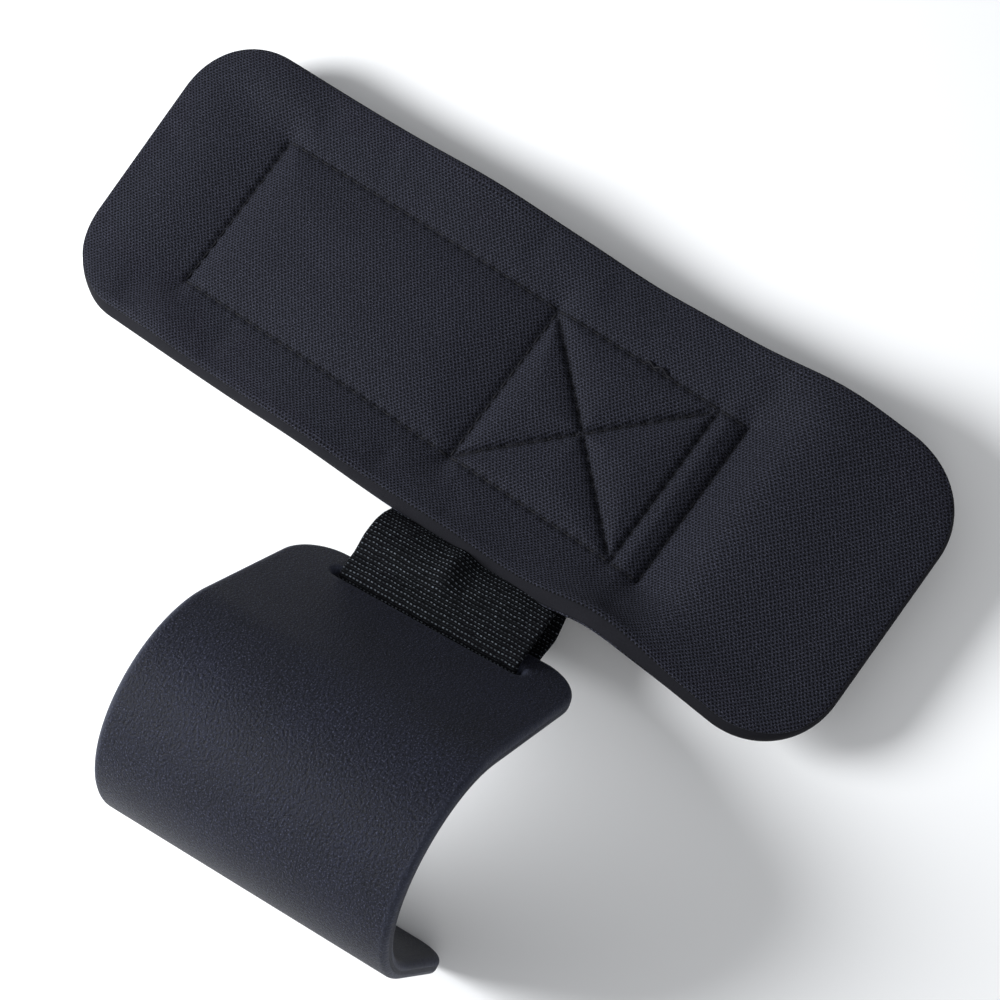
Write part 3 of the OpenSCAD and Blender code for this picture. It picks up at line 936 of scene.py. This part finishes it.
def sling_place(u, section):
    """The section's plane is YZ from the bar's middle. The width turns with the hook."""
    y, z = section[..., 0], section[..., 1]
    turn = HOOK_YAW * (1 - soft_step(y, SLING_EDGE, SLING_STRAIGHT))
    skew = SLING_SKEW * hump(y, SLING_EDGE, 8.0)
    x = SLING_X + u * np.cos(turn) - y * np.sin(turn) - skew
    return np.stack([x, hook_bar[1] + y + u * np.sin(turn), hook_bar[2] + z], axis=-1)


def make_sling():
    """One webbing from under the pad, round the hook's bar and back."""
    corner = math.hypot(BAR_W / 2, HOOK_T / 2)
    wrap = corner + LAYER_GAP + WEB_T / 2
    upper = anchor_high[2] - WEB_T / 2 - hook_bar[2] - LAYER_GAP
    lower = anchor_low[2] + WEB_T / 2 - hook_bar[2]
    inner_end = anchor_high[1] - hook_bar[1]
    line = np.concatenate([
        [[inner_end, upper], [29.5, upper], [25.0, upper + 0.9], [21.0, upper + 2.4],
         [17.6, upper + 4.6], [15.0, upper + 7.2], [12.4, upper + 9.3], [9.4, upper + 10.8],
         [6.3, upper + 11.9]],
        arc((0, 0), wrap, 63, 262, 40),
        [[5.0, -wrap - 1.2], [10.5, lower - 0.2], [15.0, lower], [inner_end, lower]]])
    path = even_path(line, soften=2.6)
    run = run_lengths(path)
    at_edge = run[np.argmax(path[:, 0] < SLING_EDGE)]
    at_bar = run[np.argmax(path[:, 0] < 0)]

    def crease(s, u):
        """The upper sheet's fold, which dies out before the slot so that the hook can turn."""
        free = soft_step(s, at_edge - 4, at_edge + 6) * (1 - soft_step(s, at_bar - 9, at_bar - 3))
        raised = 0.55 * (1 - np.tanh((u - 1.5) / 2.0))
        raised = raised + 0.5 * hump(u, -2, 2.5) + 0.25 * hump(u, 15, 5)
        return -free * raised * (1 + 0.5 * hump(s, (at_edge + at_bar) / 2, 6))

    sling = webbing("sling_webbing", path, sling_place, crease=crease, across_step=0.85)
    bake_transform(sling)
    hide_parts("sling_anchor", "sling_loop")


# ---------- hook

PLATE_L = SHANK_L + BEND_R * BEND + LIP_L
EDGE_R = 1.6            # radius of the coated plate's rounded edges
RIM_STEP = 1.3          # spacing of points along the plate's outline and slot
RIM_GAP = 0.7           # clear space on either side of the innermost ring
SLOT_S = BAR_W + SLOT_W / 2


def plate_outline(inset):
    """The flat pattern's outline, from the top edge (s = 0) to the lip's tip, drawn in."""
    w = HOOK_HALF_W - inset
    top_r, tip_r = SHANK_CORNER_R - inset, LIP_CORNER_R - inset
    corners = [((PLATE_L - inset - tip_r, w - tip_r), tip_r, 0),
               ((inset + top_r, w - top_r), top_r, 90),
               ((inset + top_r, top_r - w), top_r, 180),
               ((PLATE_L - inset - tip_r, tip_r - w), tip_r, 270)]
    return np.concatenate([arc(c, r, a, a + 90, 14) for c, r, a in corners])


def slot_outline(grow):
    """The sling slot's outline, drawn outwards."""
    r = SLOT_W / 2 + grow
    end = (SLOT_L - SLOT_W) / 2
    return np.concatenate([arc((SLOT_S, end), r, 0, 180, 14), arc((SLOT_S, -end), r, 180, 360, 14)])


def filled(loop, step):
    """A closed loop with its long straight stretches cut into steps."""
    points = []
    for a, b in zip(loop, np.roll(loop, -1, axis=0)):
        count = max(1, round(np.linalg.norm(b - a) / step))
        points += [a + (b - a) * k / count for k in range(count)]
    return np.array(points)


def plate_depth(p):
    """Distance of flat-pattern points inside the plate, negative outside or in the slot."""
    s, w = p[:, 0], np.abs(p[:, 1])
    r = np.where(s < PLATE_L / 2, SHANK_CORNER_R, LIP_CORNER_R)
    qs = np.abs(s - PLATE_L / 2) - (PLATE_L / 2 - r)
    qw = w - (HOOK_HALF_W - r)
    outline = r - np.hypot(np.maximum(qs, 0), np.maximum(qw, 0)) - np.minimum(np.maximum(qs, qw), 0)
    to_slot = np.hypot(s - SLOT_S, np.maximum(w - (SLOT_L - SLOT_W) / 2, 0)) - SLOT_W / 2
    return np.minimum(outline, to_slot)


def plate_place(p, height):
    """Bends flat-pattern points into the hook. height is towards the outer, convex side."""
    s = p[:, 0]
    on_bend = np.clip(s - SHANK_L, 0, BEND_R * BEND) / BEND_R
    on_lip = np.maximum(s - SHANK_L - BEND_R * BEND, 0)
    on_shank = np.minimum(s, SHANK_L) - BAR_W / 2
    down = on_shank + BEND_R * np.sin(on_bend) + on_lip * np.cos(BEND)
    inward = BEND_R * (1 - np.cos(on_bend)) + on_lip * np.sin(BEND)
    down = down + height * np.sin(on_bend)
    inward = inward - height * np.cos(on_bend)
    tilt = math.pi - SHANK_SLOPE
    y = down * math.cos(tilt) - inward * math.sin(tilt)
    z = down * math.sin(tilt) + inward * math.cos(tilt)
    w = p[:, 1]
    return np.stack([SLING_X + w * math.cos(HOOK_YAW) - y * math.sin(HOOK_YAW),
                     hook_bar[1] + w * math.sin(HOOK_YAW) + y * math.cos(HOOK_YAW),
                     hook_bar[2] + z], axis=-1)


def make_hook():
    """The coated plate: a flat pattern with rounded edges, bent along its profile."""
    insets = EDGE_R * (1 - np.cos(np.radians([0, 14, 30, 46, 62, 76, 90])))
    insets = np.append(insets, EDGE_R + RIM_GAP)
    loops = [filled(plate_outline(d), RIM_STEP) for d in insets]
    loops += [filled(slot_outline(d), RIM_STEP) for d in insets]
    gs, gw = np.meshgrid(np.arange(1.0, PLATE_L, 1.4), np.arange(-39.2, 39.3, 1.96), indexing="ij")
    inner = np.stack([gs.ravel(), gw.ravel()], axis=-1)
    inner = inner[plate_depth(inner) > insets[-1] + RIM_GAP]
    flat = np.concatenate(loops + [inner])
    edges, first = [], 0
    for loop in loops:
        edges += [(first + k, first + (k + 1) % len(loop)) for k in range(len(loop))]
        first += len(loop)
    found = delaunay_2d_cdt([Vector(p) for p in flat], edges, [], 0, 1e-6)
    flat = np.array([list(v) for v in found[0]])
    triangles = np.array(found[2])
    middle = flat[triangles].mean(axis=1)
    triangles = triangles[plate_depth(middle) > 1e-4]
    depth = np.maximum(plate_depth(flat), 0)
    into = np.minimum(depth, EDGE_R)
    half = HOOK_T / 2 - EDGE_R + np.sqrt(EDGE_R ** 2 - (EDGE_R - into) ** 2)
    count = len(flat)
    points = np.concatenate([plate_place(flat, half), plate_place(flat, -half)])
    uses = {}
    for tri in triangles.tolist():
        for a, b in ((tri[0], tri[1]), (tri[1], tri[2]), (tri[2], tri[0])):
            uses.setdefault((min(a, b), max(a, b)), []).append((a, b))
    faces = triangles.tolist() + (triangles[:, ::-1] + count).tolist()
    faces += [[b, a, a + count, b + count] for pair in uses.values() if len(pair) == 1
              for a, b in pair]
    # The edge value marks the lighter band along the plate's edges, partly wear and partly a
    # painted highlight.
    edge = np.clip(1 - depth / 2.2, 0, 1)
    weave = np.concatenate([np.column_stack([flat, np.zeros(count)]),
                            np.column_stack([flat, np.full(count, 50.0)])])
    hook = make_mesh("coated_hook", points, faces, weave=weave, edge=np.tile(edge, 2))
    dress(hook, coating)
    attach(hook, "hook")
    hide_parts("hook_coating")


# ---------- closure patches

def make_patches():
    """The loop pile on the strap's run, and the hook tape on its end."""
    for node, name, material, body, relief in (
            ("loop_pile_patch", "loop_pile", pile, "pad", 0.12),
            ("hook_tape_patch", "hook_tape", tape, "strap_end", 0.03)):
        low, high = box_mm(node)
        rows, cols = 120, 74
        x, y = np.meshgrid(np.linspace(low[0], high[0], rows), np.linspace(low[1], high[1], cols),
                           indexing="ij")
        to_edge = np.minimum.reduce([x - low[0], high[0] - x, y - low[1], high[1] - y])
        rough = rng.random(x.shape) * relief * np.clip(to_edge / 1.5, 0, 1)
        round_off = 0.25 * np.exp(-(to_edge / 0.6) ** 2)
        faces_down = body == "pad"
        top_z = high[2] - round_off * (not faces_down) - rough * (not faces_down)
        low_z = low[2] + round_off * faces_down + rough * faces_down
        top = np.stack([x, y, top_z + 0 * x], axis=-1)
        bottom = np.stack([x, y, low_z + 0 * x], axis=-1)
        patch = closed_shell(name, top, bottom)
        dress(patch, material)
        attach(patch, body)
        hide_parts(node)


# ---------- camera, floor and light

FOCAL_PX = 2400.0       # focal length for an image 1000 pixels wide
CAMERA_AZIMUTH = math.radians(70.31)
CAMERA_ELEVATION = math.radians(67.91)
CAMERA_ROLL = math.radians(-35.15)
CAMERA_DISTANCE = 571.0
CAMERA_TARGET = (22.48, -24.73, pad_high[2])


def make_camera():
    ca, sa = math.cos(CAMERA_AZIMUTH), math.sin(CAMERA_AZIMUTH)
    ce, se = math.cos(CAMERA_ELEVATION), math.sin(CAMERA_ELEVATION)
    back = Vector((sa * ce, -ca * ce, se))
    right = Vector((ca, sa, 0))
    up = back.cross(right)
    cr, sr = math.cos(CAMERA_ROLL), math.sin(CAMERA_ROLL)
    right, up = cr * right + sr * up, -sr * right + cr * up
    turn = Matrix((right, up, back)).transposed().to_4x4()
    camera = bpy.data.objects.new("camera", bpy.data.cameras.new("camera"))
    camera.data.sensor_width = 36.0
    camera.data.lens = 36.0 * FOCAL_PX / 1000
    camera.data.clip_start, camera.data.clip_end = 0.05, 20.0
    place = metres(CAMERA_TARGET) + back * CAMERA_DISTANCE * MM
    camera.matrix_world = Matrix.Translation(place) @ turn
    bpy.context.scene.collection.objects.link(camera)
    bpy.context.scene.camera = camera
    return right, up


def area_light(name, direction, distance, size, power, colour=(1.0, 1.0, 1.0)):
    """A soft round light that shines at the object from a direction."""
    light = bpy.data.lights.new(name, "AREA")
    light.shape = "DISK"
    light.size = size
    light.energy = power
    light.color = colour
    made = bpy.data.objects.new(name, light)
    aim = Vector(direction).normalized()
    made.location = metres((-30, -40, 0)) + aim * distance
    made.rotation_mode = "QUATERNION"
    made.rotation_quaternion = aim.to_track_quat("Z", "Y")
    bpy.context.scene.collection.objects.link(made)


def make_stage(right, up):
    """A plain pale floor and soft light from above."""
    half = 4.0
    z = -0.1 * MM
    mesh = bpy.data.meshes.new("floor")
    mesh.from_pydata([(-half, -half, z), (half, -half, z), (half, half, z), (-half, half, z)],
                     [], [(0, 1, 2, 3)])
    floor = bpy.data.objects.new("floor", mesh)
    bpy.context.scene.collection.objects.link(floor)
    look = Finish("floor", Roughness=0.9, Specular_IOR_Level=0.1,
                  Base_Color=(0.92, 0.92, 0.92, 1.0))
    floor.data.materials.append(look.material)
    world = bpy.data.worlds.new("world")
    world.use_nodes = True
    world.node_tree.nodes["Background"].inputs["Color"].default_value = (0.95, 0.97, 1.0, 1.0)
    world.node_tree.nodes["Background"].inputs["Strength"].default_value = 0.42
    bpy.context.scene.world = world
    sky = Vector((0, 0, 1))
    area_light("key", -right * 1.0 + up * 0.05 + sky * 0.58, 0.60, 0.30, 6.6, (0.96, 0.98, 1.0))
    area_light("fill", right * 0.5 - up * 0.9 + sky * 1.3, 1.3, 0.9, 2.5)
    bpy.context.scene.view_settings.view_transform = "Standard"


# ---------- build

right, up = make_camera()
make_stage(right, up)
skin = make_pad()
make_stitches(skin)
make_straps()
make_sling()
make_hook()
make_patches()
dress(frame["nodes"]["strap_ring"], plated_steel)
dress(frame["nodes"]["hook_plate"], bare_steel)
